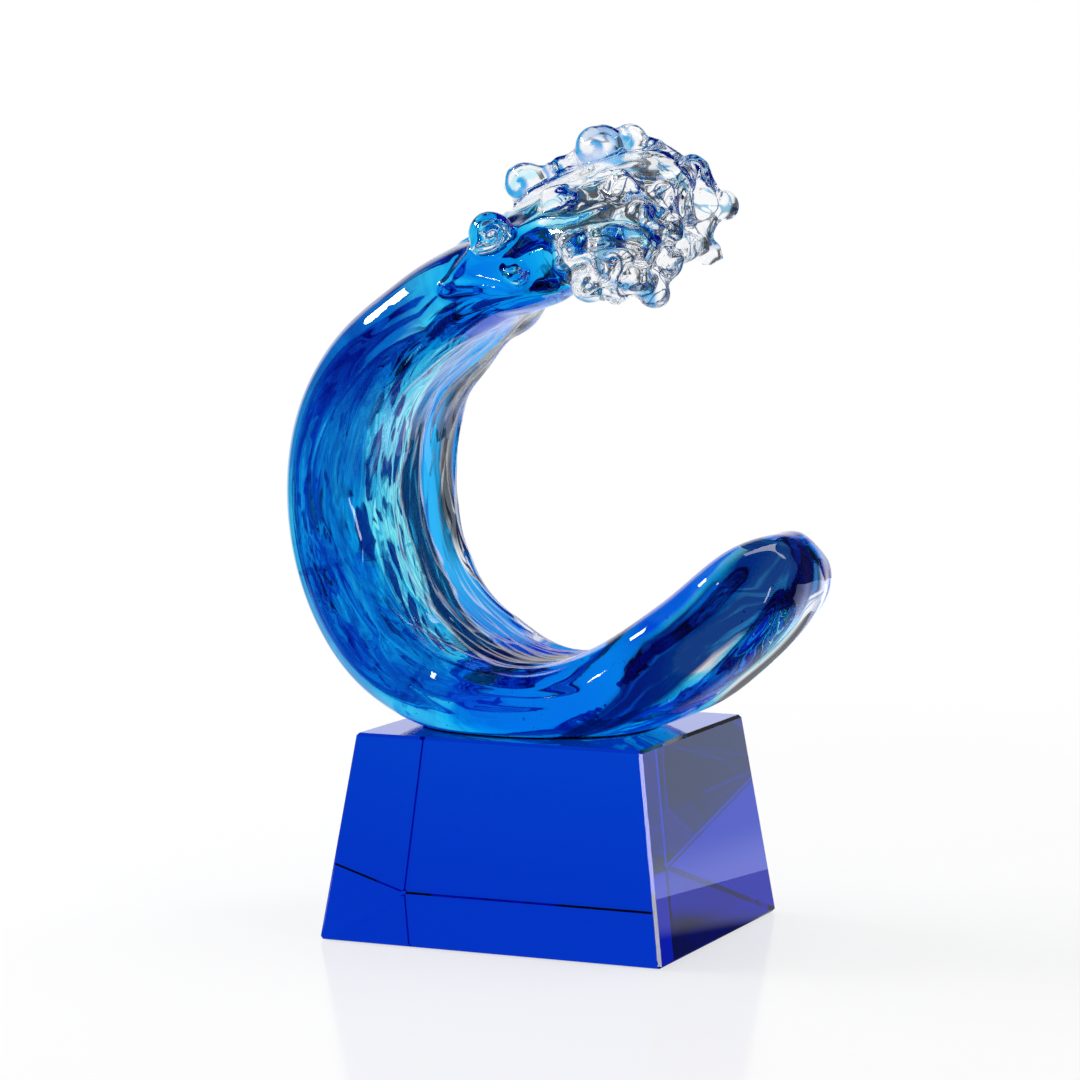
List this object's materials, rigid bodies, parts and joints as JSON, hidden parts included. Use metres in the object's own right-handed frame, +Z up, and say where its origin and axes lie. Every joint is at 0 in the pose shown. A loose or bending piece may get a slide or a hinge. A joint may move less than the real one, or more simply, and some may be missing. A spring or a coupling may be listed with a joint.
{
  "type": "glass wave sculpture",
  "caption": "Curling wave of cobalt glass cased in clear, with a foaming clear crest, glued to a cut cobalt crystal base that tapers upwards.",
  "frame": {"origin": "middle of the crystal base's flat underside", "axes": "+Z up, +X to the viewer's right when the sloped front face is seen, +Y away from that front"},
  "size_m": [0.1511, 0.0888, 0.2242],
  "materials": {
    "cobalt_crystal": "polished optical crystal, cobalt through the block",
    "clear_adhesive": "clear cured adhesive film",
    "clear_glass": "fire-polished clear glass",
    "cobalt_glass": "hot-worked cobalt and aqua streaks in clear glass"
  },
  "bodies": {
    "root": {"back_drop_1": "clear_glass", "back_drop_2": "clear_glass", "back_drop_3": "clear_glass", "back_drop_4": "clear_glass", "bond_film": "clear_adhesive", "clear_casing": "clear_glass", "cobalt_core": "cobalt_glass", "crest_lip": "clear_glass", "crystal_base": "cobalt_crystal", "face_curl_1": "clear_glass", "face_curl_2": "clear_glass", "face_curl_3": "clear_glass", "face_curl_4": "clear_glass", "face_curl_5": "clear_glass", "face_curl_6": "clear_glass", "face_curl_7": "clear_glass", "front_curl_1": "clear_glass", "lip_drop_1": "clear_glass", "lip_drop_2": "clear_glass", "lip_drop_3": "clear_glass", "lip_drop_4": "clear_glass", "lip_drop_5": "clear_glass", "lip_drop_6": "clear_glass", "ridge_bead_1": "clear_glass", "ridge_bead_2": "clear_glass", "ridge_bead_3": "clear_glass", "ridge_bead_4": "clear_glass", "ridge_bead_5": "clear_glass", "ridge_bead_6": "clear_glass", "shoulder_bead_1": "clear_glass", "under_drop_1": "clear_glass", "under_drop_2": "clear_glass", "under_drop_3": "clear_glass", "under_drop_4": "clear_glass", "under_drop_5": "clear_glass", "under_drop_6": "clear_glass"}
  },
  "joints": []
}
